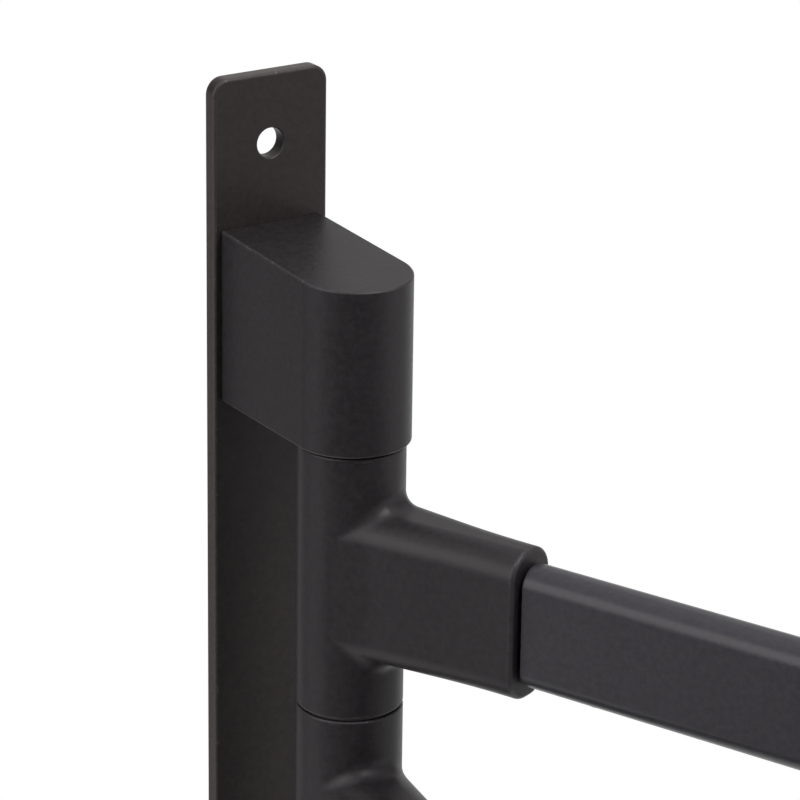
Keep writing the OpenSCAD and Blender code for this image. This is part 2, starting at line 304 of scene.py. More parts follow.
def loft(bm, number, edges, places):
    """Extrudes a loop of edges from place to place. A place turns a vertex's number into its point."""
    for place in places:
        verts = new_verts(bmesh.ops.extrude_edge_only(bm, edges=edges))
        for v in verts:
            v.co = place(v[number])
        edges = edges_within(verts)
    return edges


def section_at(x, half_w, half_h, corner, shrink=0.0):
    """A place for loft: a bar's outline at x, with round corners, drawn in on all sides by shrink."""
    def place(number):
        quarter, step = divmod(number, BAR_STEPS + 1)
        turn = math.pi / 2 * (quarter + step / BAR_STEPS)
        across = 1 if quarter in (0, 3) else -1
        up = 1 if quarter < 2 else -1
        return (x, across * (half_w - corner) + (corner - shrink) * math.cos(turn),
                up * (half_h - corner) + (corner - shrink) * math.sin(turn))
    return place


def turned(profile, place, steps=ROUND_STEPS):
    """A round body: a profile of (radius, height) points, spun about the Z axis and brought to its place."""
    bm = bmesh.new()
    verts = [bm.verts.new((radius, 0, height)) for radius, height in profile]
    edges = [bm.edges.new(pair) for pair in zip(verts, verts[1:])]
    bmesh.ops.spin(bm, geom=verts + edges, cent=(0, 0, 0), axis=(0, 0, 1), angle=2 * math.pi,
                   steps=steps, use_merge=True)
    bmesh.ops.remove_doubles(bm, verts=bm.verts, dist=MERGE)
    bm.transform(place)
    return bm


def soften(bm, edges, radius):
    """Rounds edges."""
    bmesh.ops.bevel(bm, geom=edges, offset=radius, offset_type="OFFSET", affect="EDGES", segments=ARRIS_STEPS,
                    profile=0.5, clamp_overlap=True, material=-1)


def raise_face(bm, face, offset):
    """Extrudes a face by offset, and keeps the face it started from, so that the body is closed."""
    made = bmesh.ops.extrude_face_region(bm, geom=[face], use_keep_orig=True)
    bmesh.ops.translate(bm, vec=offset, verts=new_verts(made))


def arm_place(arm):
    """The place on the part of what was drawn about the hub's middle, with the bar along +X."""
    level = list(ARM_TURNS).index(arm)
    hub_z = STACK_H / 2 - HUB_GAP - HUB_H / 2 - level * HUB_PITCH
    turn = Matrix.Rotation(math.radians(ARM_TURNS[arm]), 4, "Z")
    return Matrix.Translation((0, PIVOT_Y, hub_z)) @ turn


def wall_place(z):
    """The place of a tool that goes from the wall into the room along its own +Z, at height z."""
    return Matrix.Translation((0, 0, z)) @ Matrix.Rotation(math.pi / 2, 4, "X")


def screw_places(end):
    """The places of one bracket's two screws, the lower one first."""
    return [wall_place(end * BRACKET_Z + side * BRACKET_SCREW_PITCH / 2) for side in (-1, 1)]


def mesh_object(bm, name):
    """Turns a bmesh into an object of the scene."""
    bmesh.ops.remove_doubles(bm, verts=bm.verts, dist=MERGE)
    bmesh.ops.recalc_face_normals(bm, faces=bm.faces)
    mesh = bpy.data.meshes.new(name)
    bm.to_mesh(mesh)
    bm.free()
    obj = bpy.data.objects.new(name, mesh)
    bpy.context.scene.collection.objects.link(obj)
    return obj


def cut(obj, tools):
    """Cuts the tools, which are bmeshes, out of an object, one after the other."""
    for bm in tools:
        tool = mesh_object(bm, "tool")
        bite = obj.modifiers.new("bite", "BOOLEAN")
        bite.operation = "DIFFERENCE"
        bite.solver = "EXACT"
        bite.object = tool
        bpy.context.view_layer.update()
        result = bpy.data.meshes.new_from_object(obj.evaluated_get(bpy.context.evaluated_depsgraph_get()))
        obj.modifiers.remove(bite)
        spent = obj.data
        obj.data = result
        bpy.data.meshes.remove(spent)
        bpy.data.objects.remove(tool)


def mark_arrises(mesh):
    """Marks the faces of a piece's rounded edges, where its coat wears first and where a highlight is painted
    on.
    """
    bm = bmesh.new()
    bm.from_mesh(mesh)
    arris_wear_and_highlight = bm.faces.layers.float.new("arris_wear_and_highlight")
    for edge in bm.edges:
        if len(edge.link_faces) != 2:
            continue
        first, second = edge.link_faces
        run = (edge.verts[1].co - edge.verts[0].co).normalized()
        between = first.calc_center_median() - second.calc_center_median()
        width = (between - run * between.dot(run)).length
        if edge.calc_face_angle_signed(0) * ARRIS_R > width:
            for face in edge.link_faces:
                if face.calc_area() < ARRIS_W * max(side.calc_length() for side in face.edges):
                    face[arris_wear_and_highlight] = 1.0
    bm.to_mesh(mesh)
    bm.free()


def finish_piece(obj, body, finish, nodes, sharp=SHARP):
    """Brings a piece to metres, smooths it up to its sharp edges and gives it its finish and its body."""
    mesh = obj.data
    mesh.name = obj.name
    mark_arrises(mesh)
    mesh.transform(Matrix.Scale(MM, 4))
    mesh.shade_smooth()
    mesh.set_sharp_from_angle(angle=math.radians(sharp))
    mesh.materials.clear()
    mesh.materials.append(finish.material)
    flats = obj.modifiers.new("flats", "WEIGHTED_NORMAL")
    flats.mode = "FACE_AREA"
    flats.weight = FLAT_WEIGHT
    flats.keep_sharp = True
    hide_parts(*nodes)
    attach(obj, body)


# Tools that cut holes

def drill(radius, depth, place):
    """A round hole of this depth along the tool's own +Z."""
    return turned([(0, -OVERRUN), (radius, -OVERRUN), (radius, depth), (0, depth)], place)


def rounded_mouth(radius, edge):
    """Profile of a hole's mouth from outside the face to the hole's wall, its rim rounded by edge."""
    steep = math.radians(RIM_START)
    flare = edge * (1 - math.cos(steep)) + (OVERRUN + edge * (1 - math.sin(steep))) * math.tan(steep)
    turns = [steep * share for share in RIM_SHARES]
    return [(0, -OVERRUN), (radius + flare, -OVERRUN)] + [
        (radius + edge * (1 - math.cos(t)), edge * (1 - math.sin(t))) for t in turns]


def edged_drill(radius, length, near_edge, far_edge, place):
    """A through hole with rounded rims: near_edge where it starts, far_edge at the other face."""
    far = [(r, length - h) for r, h in reversed(rounded_mouth(radius, far_edge))]
    return turned(rounded_mouth(radius, near_edge) + far, place)


def hexagon_drill(across, depth, place):
    """A wrench socket, this far across its corners and of this depth along the tool's own +Z."""
    bm = bmesh.new()
    made = bmesh.ops.create_circle(bm, cap_ends=True, segments=6, radius=across / 2)
    bmesh.ops.translate(bm, vec=(0, 0, -OVERRUN), verts=made["verts"])
    raise_face(bm, list(bm.faces)[0], (0, 0, OVERRUN + depth))
    bm.transform(place)
    return bm


# Pieces of the wall mount

def wall_plate():
    """The flat strip with round corners, its two wall holes and its four countersunk holes."""
    bm = bmesh.new()
    corners = [(-1, -1), (1, -1), (1, 1), (-1, 1)]
    bm.faces.new([bm.verts.new((x * PLATE_W / 2, -PLATE_T, z * PLATE_H / 2)) for x, z in corners])
    bmesh.ops.bevel(bm, geom=list(bm.verts), offset=PLATE_CORNER, offset_type="OFFSET", affect="VERTICES",
                    segments=PLATE_CORNER_STEPS, profile=0.5, material=-1)
    raise_face(bm, list(bm.faces)[0], (0, PLATE_T, 0))
    for y, arris in ((-PLATE_T, PLATE_ARRIS), (0, PLATE_BACK_ARRIS)):
        soften(bm, [e for e in bm.edges if all(abs(v.co.y - y) < MERGE for v in e.verts)], arris)
    # Seams across the plate, so that no flat face has two holes
    between_holes = (WALL_HOLE_Z - WALL_HOLE_D, BRACKET_Z + BRACKET_SCREW_PITCH, BRACKET_Z,
                     BRACKET_Z - BRACKET_SCREW_PITCH)
    for end in (-1, 1):
        for z in between_holes:
            bmesh.ops.bisect_plane(bm, geom=[*bm.verts, *bm.edges, *bm.faces], dist=MERGE,
                                   plane_co=(0, 0, end * z), plane_no=(0, 0, 1))
    plate = mesh_object(bm, "wall_plate_coated")
    hole_r = BRACKET_SCREW_D / 2 + FIT
    mouth_r = BRACKET_SCREW_HEAD_D / 2 + FIT + OVERRUN
    countersink = [(0, -OVERRUN), (mouth_r, -OVERRUN), (hole_r, SCREW_CONE_H), (hole_r, PLATE_T + OVERRUN),
                   (0, PLATE_T + OVERRUN)]
    tools = []
    for end in (-1, 1):
        tools.append(edged_drill(WALL_HOLE_D / 2, PLATE_T, PLATE_BACK_ARRIS, WALL_HOLE_RIM,
                                 wall_place(end * WALL_HOLE_Z)))
        tools += [turned(countersink, place) for place in screw_places(end)]
    cut(plate, tools)
    return plate


def shaft_bores(end):
    """Tools for the shaft's seat in a bracket. At the bottom they go on to the counterbore of its screw."""
    seat_r = SHAFT_D / 2 + FIT
    if end > 0:
        return [drill(seat_r, SHAFT_SEAT, Matrix.Translation((0, PIVOT_Y, STACK_H / 2)))]
    foot = Matrix.Translation((0, PIVOT_Y, -STACK_H / 2 - BRACKET_H))
    bore_r = SHAFT_SCREW_HEAD_D / 2 + HOLE_FIT
    passage_r = SHAFT_SCREW_D / 2 + HOLE_FIT
    seat_floor = BRACKET_H - SHAFT_SEAT
    stepped = turned([(0, -OVERRUN), (bore_r, -OVERRUN), (bore_r, COUNTERBORE_H), (passage_r, COUNTERBORE_H),
                      (passage_r, seat_floor), (seat_r, seat_floor), (seat_r, BRACKET_H + OVERRUN),
                      (0, BRACKET_H + OVERRUN)], foot)
    rim_r = bore_r + COUNTERBORE_EDGE
    underside = Matrix.Translation((0, 0, BRACKET_SLOPE * PIVOT_REACH)) @ Matrix.Rotation(
        -math.atan(BRACKET_SLOPE), 4, "X")
    rim = turned([(0, -OVERRUN), (rim_r + OVERRUN, -OVERRUN), (rim_r - OVERRUN, OVERRUN), (0, OVERRUN)],
                 foot @ underside)
    return [stepped, rim]


def bracket(side):
    """The top or bottom block: round at its nose, spread to the wall, its outer face falling to the nose."""
    end = BRACKET_ENDS[side]
    bm = bmesh.new()
    # Half a disc for the nose, and a face from there to the wall
    bmesh.ops.create_circle(bm, cap_ends=True, segments=2 * ROUND_STEPS, radius=NOSE_R)
    bmesh.ops.bisect_plane(bm, geom=[*bm.verts, *bm.edges, *bm.faces], dist=MERGE, plane_co=(0, 0, 0),
                           plane_no=(0, 1, 0), clear_outer=True)
    back = [e for e in bm.edges if all(abs(v.co.y) < MERGE for v in e.verts)]
    for v in new_verts(bmesh.ops.extrude_edge_only(bm, edges=back)):
        v.co = (math.copysign(BRACKET_ROOT_W / 2, v.co.x), PIVOT_REACH, 0)
    bmesh.ops.dissolve_edges(bm, edges=back, use_verts=False)
    raise_face(bm, list(bm.faces)[0], (0, 0, BRACKET_H))
    # The fall of the outer face
    for v in bm.verts:
        if (v.co.z > BRACKET_H / 2) == (end > 0):
            v.co.z -= end * BRACKET_SLOPE * (PIVOT_REACH - v.co.y)
    crisp = [e for e in bm.edges if e.is_manifold and e.calc_face_angle() > math.radians(CRISP)]
    soften(bm, crisp, BRACKET_ARRIS)
    bm.transform(Matrix.Translation((0, PIVOT_Y, end * BRACKET_Z - BRACKET_H / 2)))
    block = mesh_object(bm, side + "_bracket_casting")
    hole_depth = BRACKET_SCREW_L + BRACKET_SCREW_RUN_OUT
    tools = [drill(BRACKET_SCREW_D / 2 + THREAD_FIT, hole_depth, place) for place in screw_places(end)]
    cut(block, tools + shaft_bores(end))
    return block


def bracket_screws(side):
    """The two countersunk screws of one bracket, with a hexagon socket in each head."""
    places = screw_places(BRACKET_ENDS[side])
    screw_r = BRACKET_SCREW_D / 2
    head_r = BRACKET_SCREW_HEAD_D / 2
    bm = turned([(0, BRACKET_SCREW_SINK), (head_r - BRACKET_SCREW_EDGE_W, BRACKET_SCREW_SINK),
                 (head_r, BRACKET_SCREW_EDGE_H), (screw_r, SCREW_CONE_H),
                 (screw_r, BRACKET_SCREW_L - BRACKET_SCREW_TIP),
                 (screw_r - BRACKET_SCREW_TIP, BRACKET_SCREW_L), (0, BRACKET_SCREW_L)], places[0])
    twin = bmesh.ops.duplicate(bm, geom=[*bm.verts, *bm.edges, *bm.faces])
    bmesh.ops.translate(bm, vec=(0, 0, BRACKET_SCREW_PITCH), verts=new_verts(twin))
    screws = mesh_object(bm, side + "_bracket_screw_pair")
    cut(screws, [hexagon_drill(head_r, SCREW_CONE_H / 2, place) for place in places])
    return screws


def shaft_screw():
    """The cap screw that draws the shaft into the bottom bracket, seen from below in its counterbore."""
    head_top = -STACK_H / 2 - BRACKET_H + COUNTERBORE_H
    web = BRACKET_H - SHAFT_SEAT - COUNTERBORE_H
    head_r = SHAFT_SCREW_HEAD_D / 2
    screw_r = SHAFT_SCREW_D / 2
    face = -SHAFT_SCREW_HEAD_H
    edge = SHAFT_SCREW_EDGE
    dip = SHAFT_SCREW_EDGE_DIP
    tip = web + SHAFT_SCREW_GRIP
    profile = [(0, face), (head_r - edge, face), (head_r - dip, face + dip), (head_r, face + edge),
               (head_r, 0), (screw_r, 0), (screw_r, tip - SHAFT_SCREW_TIP), (screw_r - SHAFT_SCREW_TIP, tip),
               (0, tip)]
    screw = mesh_object(turned(profile, Matrix.Translation((0, PIVOT_Y, head_top))), "shaft_cap_screw")
    foot = Matrix.Translation((0, PIVOT_Y, head_top - SHAFT_SCREW_HEAD_H))
    cut(screw, [hexagon_drill(head_r, SHAFT_SCREW_HEAD_H / 2, foot)])
    return screw


# Pieces of an arm, drawn about the hub's middle with the bar along +X

def slope_height(x, even_to, end, slope):
    """Height at x of a slope that is even up to one place and dies out at its end."""
    if x >= end:
        return 0.0
    if x > even_to:
        return slope * (end - x) ** 2 / (2 * (end - even_to))
    return slope * ((end - even_to) / 2 + even_to - x)


def root_point(k, half_w, half_h, corner):
    """Point k of a ring round the root."""
    turn, across, up = ROOT_RING[k]
    return (across * (half_w - corner) + corner * math.cos(turn),
            up * (half_h - corner) + corner * math.sin(turn))


def on_root(k, x):
    """Point k of the root's skin at x: its sides leave the hub along its wall and straighten on the way."""
    half_w = ROOT_W / 2 + slope_height(x, *ROOT_SIDE) + slope_height(x, *ROOT_LEAD)
    half_h = ROOT_H / 2 + slope_height(x, HUB_R, ROOT_REACH * FLARE_END_SHARE, ROOT_FLARE_H / ROOT_REACH)
    return Vector((x, *root_point(k, half_w, half_h, ROOT_CORNER)))


def leaving_hub(k):
    """The fillet at point k: its turn and height on the hub, the crease, its end on the root, its weight."""
    # The crease, where the root's skin meets the hub's wall, is found by halving the span it lies in
    inside = HUB_R * math.cos(math.asin(ROOT_START_SHARE))
    outside = HUB_R
    for _ in range(CREASE_HALVINGS):
        middle = (inside + outside) / 2
        if on_root(k, middle).xy.length < HUB_R:
            inside = middle
        else:
            outside = middle
    crease = on_root(k, outside)
    along = (on_root(k, outside + CREASE_STEP) - crease).normalized()
    wall = Vector((crease.x, crease.y, 0)).normalized()
    skin = Vector((0, math.cos(ROOT_RING[k][0]), math.sin(ROOT_RING[k][0])))
    skin = (skin - along * skin.dot(along)).normalized()
    fold = math.acos(wall.dot(skin))
    up_hub = (skin - wall * math.cos(fold)) / math.sin(fold)
    out_root = (wall - skin * math.cos(fold)) / math.sin(fold)
    reach = ((ROOT_FILLET * math.tan(fold / 2)) ** 4 + ROOT_BLEND ** 4) ** 0.25
    turn = math.atan2(crease.y, crease.x) + reach * (up_hub.y * wall.x - up_hub.x * wall.y) / HUB_R
    end = on_root(k, crease.x + reach * along.x / along.dot(out_root))
    return turn, crease.z + reach * up_hub.z, crease, end, math.cos(fold / 2)


def arm_hub(arm):
    """The hub with its root and the tenon for the bar: one closed skin that leaves the hub in a fillet."""
    bm = bmesh.new()
    leaving = [leaving_hub(k) for k in range(len(ROOT_RING))]
    rim_start = ROOT_REACH - ROOT_RIM

    def fillet(t):
        """A place for loft, as are the next three: the ring at share t of the fillet."""
        def place(k):
            turn, z, crease, end, weight = leaving[k]
            start = Vector((HUB_R * math.cos(turn), HUB_R * math.sin(turn), z))
            pulls = (1 - t) ** 2, 2 * t * (1 - t) * weight, t ** 2
            return (start * pulls[0] + crease * pulls[1] + end * pulls[2]) / sum(pulls)
        return place

    def root_to(share):
        """The ring at this share of the way from the fillet's end to the start of the rim."""
        def place(k):
            start = leaving[k][3].x
            return on_root(k, start + (rim_start - start) * share)
        return place

    def ring_at(x, half_w, half_h, corner):
        """The flat ring of this size at x."""
        def place(k):
            return (x, *root_point(k, half_w, half_h, corner))
        return place

    # The root: fillet, tapering sides, rounded rim, end face and tenon
    number, opening = start_loop(bm, len(ROOT_RING), fillet(0))
    places = [fillet(step / FILLET_STEPS) for step in range(1, FILLET_STEPS + 1)]
    places += [root_to(step / TAPER_STEPS) for step in range(1, TAPER_STEPS + 1)]
    for a in quarter_turns(ROOT_RIM_STEPS):
        shrink = ROOT_RIM * (1 - math.cos(a))
        places.append(ring_at(rim_start + ROOT_RIM * math.sin(a), ROOT_W / 2 - shrink, ROOT_H / 2 - shrink,
                              ROOT_CORNER - shrink))
    for x in (ROOT_REACH, ROOT_REACH + TENON_L):
        places.append(ring_at(x, TENON_HALF_W, TENON_HALF_H, TENON_CORNER))
    bmesh.ops.holes_fill(bm, edges=loft(bm, number, opening, places), sides=0)

    # The rest of the hub's wall: from the mouth of the root out to a sheet that is rolled round the hub
    wall_z = HUB_H / 2 - HUB_EDGE
    quarter = len(ROOT_RING) // 4

    def on_sheet(share):
        """The ring at this share of the way from the mouth to the sheet's edge."""
        def place(k):
            side, step = divmod((k - CORNER_STEPS // 2) % len(ROOT_RING), quarter)
            along = 1 - 2 * step / quarter
            turn, z = [(along, 1), (-1, along), (-along, -1), (1, -along)][side]
            mouth_turn, mouth_z = leaving[k][:2]
            turn = mouth_turn + (math.pi * turn - mouth_turn) * share
            z = mouth_z + (wall_z * z - mouth_z) * share
            return HUB_R * math.cos(turn), HUB_R * math.sin(turn), z
        return place

    shares = [(step / HUB_WALL_STEPS) ** HUB_WALL_CROWDING for step in range(1, HUB_WALL_STEPS + 1)]
    loft(bm, number, opening, [on_sheet(share) for share in shares])
    bmesh.ops.remove_doubles(bm, verts=bm.verts, dist=MERGE)

    # The two ends and the stepped bore
    path = [(HUB_R - HUB_EDGE * (1 - math.cos(a)), wall_z + HUB_EDGE * math.sin(a))
            for a in quarter_turns(ARRIS_STEPS)]
    bore = BUSH_D / 2 + FIT
    relief = SHAFT_D / 2 + HUB_RELIEF
    path += [(bore, HUB_H / 2), (bore, HUB_H / 2 - BUSH_L), (relief, HUB_H / 2 - BUSH_L), (relief, 0)]
    for end in (-1, 1):
        rim = [e for e in bm.edges if e.is_boundary and e.verts[0].co.z * end > 0]
        for radius, z in path:
            verts = new_verts(bmesh.ops.extrude_edge_only(bm, edges=rim))
            for v in verts:
                flat = v.co.xy.normalized() * radius
                v.co = (flat.x, flat.y, end * z)
            rim = edges_within(verts)
    bm.transform(arm_place(arm))
    return mesh_object(bm, arm + "_arm_casting")


def arm_bar(arm):
    """The flat oval tube, open at both ends, with the hole for its set screw in the underside."""
    outer = (BAR_W / 2, BAR_H / 2, BAR_CORNER)
    inner = [half - BAR_WALL for half in outer]
    rounding = [(BAR_EDGE * math.sin(a), BAR_EDGE * (1 - math.cos(a))) for a in quarter_turns(ARRIS_STEPS)]
    near_rim = [section_at(BAR_START + BAR_EDGE - x, *outer, shrink) for x, shrink in rounding]
    far_rim = [section_at(BAR_END - BAR_EDGE + x, *outer, shrink) for x, shrink in rounding]
    before_screw = SET_SCREW_X - SET_SCREW_D
    past_screw = SET_SCREW_X + SET_SCREW_D
    outside = [section_at(x, *outer) for x in (before_screw, past_screw, BAR_END - BAR_EDGE)]
    inside = [section_at(x, *inner) for x in (BAR_END, past_screw, before_screw, BAR_START)]
    start = section_at(BAR_START + BAR_EDGE, *outer)
    bm = bmesh.new()
    number, loop = start_loop(bm, BAR_POINTS, start)
    loft(bm, number, loop, outside + far_rim + inside + near_rim[::-1] + [start])
    tube = mesh_object(bm, arm + "_arm_tube")
    cut(tube, [drill(SET_SCREW_D / 2 + THREAD_FIT, BAR_WALL + OVERRUN, UNDER_BAR)])
    tube.data.transform(arm_place(arm))
    return tube


def arm_end_cap(arm):
    """The moulded plug in the bar's tip: a softly rounded head with a fine seam where it meets the bar."""
    outer = (BAR_W / 2, BAR_H / 2, BAR_CORNER)
    plug = (TENON_HALF_W, TENON_HALF_H, TENON_CORNER)
    bm = bmesh.new()
    start = section_at(BAR_END - CAP_PLUG_L, *plug, CAP_PLUG_TAPER)
    number, loop = start_loop(bm, BAR_POINTS, start)
    bmesh.ops.holes_fill(bm, edges=loop, sides=0)
    places = [section_at(BAR_END - CAP_PLUG_L + CAP_PLUG_LEAD, *plug), section_at(BAR_END, *plug)]
    places += [section_at(BAR_END + CAP_SEAM * (1 - math.cos(a)), *outer, CAP_SEAM * (1 - math.sin(a)))
               for a in [0, *quarter_turns(CAP_SEAM_STEPS)]]
    places += [section_at(ARM_REACH - CAP_EDGE * (1 - math.sin(a)), *outer, CAP_EDGE * (1 - math.cos(a)))
               for a in [0, *quarter_turns(CAP_EDGE_STEPS)]]
    bmesh.ops.holes_fill(bm, edges=loft(bm, number, loop, places), sides=0)
    bm.transform(arm_place(arm))
    return mesh_object(bm, arm + "_arm_tip")


def set_screw(arm):
    """The grub screw under the bar, flush with its underside."""
    screw_r = SET_SCREW_D / 2
    profile = [(0, 0), (screw_r - SET_SCREW_EDGE, 0), (screw_r, SET_SCREW_EDGE),
               (screw_r, SET_SCREW_L - SET_SCREW_TIP), (screw_r - SET_SCREW_TIP, SET_SCREW_L),
               (0, SET_SCREW_L)]
    bm = turned(profile, UNDER_BAR, SET_SCREW_STEPS)
    socket = hexagon_drill(screw_r, screw_r, UNDER_BAR)
    for shape in (bm, socket):
        shape.transform(arm_place(arm))
    screw = mesh_object(bm, arm + "_arm_grub_screw")
    cut(screw, [socket])
    return screw


# Finishes

class Field:
    """A value socket among some nodes. Arithmetic on fields adds Math nodes."""

    def __init__(self, nodes, socket):
        self.nodes = nodes
        self.socket = socket

    def _math(self, operation, *values):
        return self.nodes.node("ShaderNodeMath", {"operation": operation}, dict(enumerate(values)))

    def __add__(self, other):
        return self._math("ADD", self, other)

    def __radd__(self, other):
        return self._math("ADD", other, self)

    def __sub__(self, other):
        return self._math("SUBTRACT", self, other)

    def __mul__(self, other):
        return self._math("MULTIPLY", self, other)


class Nodes:
    """The nodes of a finish or of the world."""

    def __init__(self, tree):
        self.tree = tree

    def node(self, kind, settings, inputs, output=0):
        """Adds a node, with its settings and its sockets' values or fields. Gives one of its outputs."""
        made = self.tree.nodes.new(kind)
        for name, value in settings.items():
            setattr(made, name, value)
        for name, value in inputs.items():
            self.feed(made.inputs[name], value)
        return Field(self, made.outputs[output])

    def feed(self, socket, value):
        """Gives a socket a value, or links it to a field."""
        if isinstance(value, Field):
            self.tree.links.new(value.socket, socket)
        else:
            socket.default_value = value

    def rays(self):
        """Whether a ray came from the camera, off a gloss and through a clear body."""
        return [self.node("ShaderNodeLightPath", {}, {}, kind) for kind in (
            "Is Camera Ray", "Is Glossy Ray", "Is Transmission Ray")]

    def between(self, share, first, second):
        """The colour at share of the way from the first to the second."""
        ends = [colour if isinstance(colour, Field) else (*colour, 1) for colour in (first, second)]
        return self.node("ShaderNodeMix", {"data_type": "RGBA"}, {"Factor": share, 6: ends[0], 7: ends[1]}, 2)


class Finish(Nodes):
    """One surface finish: its material, its slot in the record and the nodes that feed its shader."""

    def __init__(self, name, slot, shader_values):
        self.slot = slot
        self.material = bpy.data.materials.new(name)
        self.material.use_nodes = True
        super().__init__(self.material.node_tree)
        self.shader = self.tree.nodes["Principled BSDF"]
        for socket, value in shader_values.items():
            self.shader.inputs[socket].default_value = value
        self.place = self.node("ShaderNodeTexCoord", {}, {}, "Object")

    def noise(self, size_mm, detail=2.0, roughness=0.5):
        """Noise from 0 to 1 whose blots are about size_mm across."""
        return self.node("ShaderNodeTexNoise", {}, {
            "Vector": self.place, "Scale": 1 / (size_mm * MM), "Detail": detail, "Roughness": roughness})

    def strong(self, noise, low=0.3, high=0.7):
        """The same noise with its middle part spread over 0 to 1."""
        return self.node("ShaderNodeMapRange", {}, {"Value": noise, "From Min": low, "From Max": high})

    def set(self, socket, value):
        """Gives the shader's socket of this name a value or a field."""
        self.feed(self.shader.inputs[socket], value)

    def grain(self, height, depth_mm, strength):
        """Surface relief from a height field between 0 and 1."""
        self.set("Normal", self.node("ShaderNodeBump", {}, {
            "Height": height, "Distance": depth_mm * MM, "Strength": strength}))


def satin_coat(name, slot, tones, roughness, side_highlight=None):
    """Matt black powder coat: pebbled grain, soft mottling, slow drifts of sheen, wear along its arrises, and a
    painted highlight that lifts every arris. The plate's narrow sides are painted lighter and warmer, a painted
    highlight for the bright strip they catch."""
    coat = Finish(name, slot, {"Specular IOR Level": COAT_GLOSS, "Specular Tint": COAT_TINT})
    drift = coat.noise(DRIFT_SIZE, detail=3.0)
    mottle = coat.strong(coat.noise(MOTTLE_SIZE, detail=3.0, roughness=0.6))
    pebble = coat.noise(PEBBLE_SIZE, detail=2.0, roughness=0.6)
    arris_wear_and_highlight = coat.node("ShaderNodeAttribute", {"attribute_name": "arris_wear_and_highlight"}, {}, "Fac")
    chips = coat.strong(coat.noise(CHIP_SIZE, detail=4.0, roughness=0.65), low=0.6, high=0.72)
    bare = coat.node("ShaderNodeMath", {"operation": "MINIMUM"}, {0: arris_wear_and_highlight * chips, 1: 1.0})
    colour = coat.between(drift * TONE_BY_DRIFT + mottle * TONE_BY_MOTTLE, *tones)
    # Painted highlight: the plate's narrow sides are mixed to a lighter, warmer tone
    if side_highlight:
        across, _, up = (coat.node("ShaderNodeSeparateXYZ", {}, {0: coat.place}, axis) for axis in "XYZ")
        past_x = coat.node("ShaderNodeMath", {"operation": "ABSOLUTE"}, {0: across}) - PLATE_W / 2 * MM
        past_z = coat.node("ShaderNodeMath", {"operation": "ABSOLUTE"}, {0: up}) - PLATE_H / 2 * MM
        past = coat.node("ShaderNodeMath", {"operation": "MAXIMUM"}, {0: past_x, 1: past_z})
        painted_side_highlight = coat.node("ShaderNodeMapRange", {"interpolation_type": "SMOOTHSTEP"}, {
            "Value": past, "From Min": -SIDE_HIGHLIGHT_FADE * MM, "From Max": 0.0})
        colour = coat.between(painted_side_highlight * (SIDE_HIGHLIGHT_EVEN + mottle * SIDE_HIGHLIGHT_BY_MOTTLE), colour, side_highlight)
    # Worn chips along the arrises, and a painted highlight that lifts every arris
    coat.set("Base Color", coat.between(bare * WEAR_BY_CHIPS + arris_wear_and_highlight * WEAR_AND_HIGHLIGHT_BY_ARRIS, colour, WORN_AND_HIGHLIGHT_TONE))
    coat.set("Roughness", roughness + (drift - MIDDLE) * ROUGHNESS_BY_DRIFT
             + (mottle - MIDDLE) * ROUGHNESS_BY_MOTTLE - bare * POLISH_BY_CHIPS)
    coat.grain(pebble * RELIEF_BY_PEBBLE + mottle * RELIEF_BY_MOTTLE, PEBBLE_DEPTH, strength=0.8)
    return coat


def moulded_plastic(name, slot, tones, roughness):
    """Moulded plastic: a cloudy tone and a fine matt grain."""
    plastic = Finish(name, slot, {"Specular IOR Level": COAT_GLOSS})
    cloud = plastic.noise(PLASTIC_CLOUD_SIZE)
    spark = plastic.noise(PLASTIC_GRAIN_SIZE, detail=1.0)
    plastic.set("Base Color", plastic.between(cloud, *tones))
    plastic.set("Roughness", roughness + (spark - MIDDLE) * ROUGHNESS_BY_SPARK)
    plastic.grain(spark, PLASTIC_GRAIN_DEPTH, strength=0.6)
    return plastic


def turned_steel(name, slot, tones, roughness):
    """Ground or plated steel: fine rings across its axis and a cloudy tone."""
    steel = Finish(name, slot, {"Metallic": 1.0})
    cloud = steel.noise(STEEL_CLOUD_SIZE, detail=3.0)
    rings = steel.node("ShaderNodeTexWave", {"bands_direction": "Z"}, {
        "Vector": steel.place, "Scale": STEEL_RING_SCALE, "Distortion": 1.5, "Detail": 2.0}, 1)
    steel.set("Base Color", steel.between(cloud, *tones))
    steel.set("Roughness", roughness + (cloud - MIDDLE) * ROUGHNESS_BY_CLOUD)
    steel.grain(rings, STEEL_RING_DEPTH, strength=0.5)
    return steel


# Light and camera

def outward(azimuth, elevation):
    """The direction from the part at these degrees. Azimuth 0 is in front of the wall, 90 to the right."""
    turn, rise = math.radians(azimuth), math.radians(elevation)
    return Vector((math.sin(turn) * math.cos(rise), -math.cos(turn) * math.cos(rise), math.sin(rise)))


def soft_light(name, azimuth, elevation, size, strength):
    """A square soft box that faces the part's top."""
    data = bpy.data.lights.new(name, "AREA")
    data.shape = "SQUARE"
    data.size = size
    data.energy = strength
    lamp = bpy.data.objects.new(name, data)
    back = outward(azimuth, elevation)
    facing = back.to_track_quat("Z", "Y").to_matrix().to_4x4()
    lamp.matrix_world = Matrix.Translation(LAMP_AIM + back * LAMP_DISTANCE) @ facing
    bpy.context.scene.collection.objects.link(lamp)


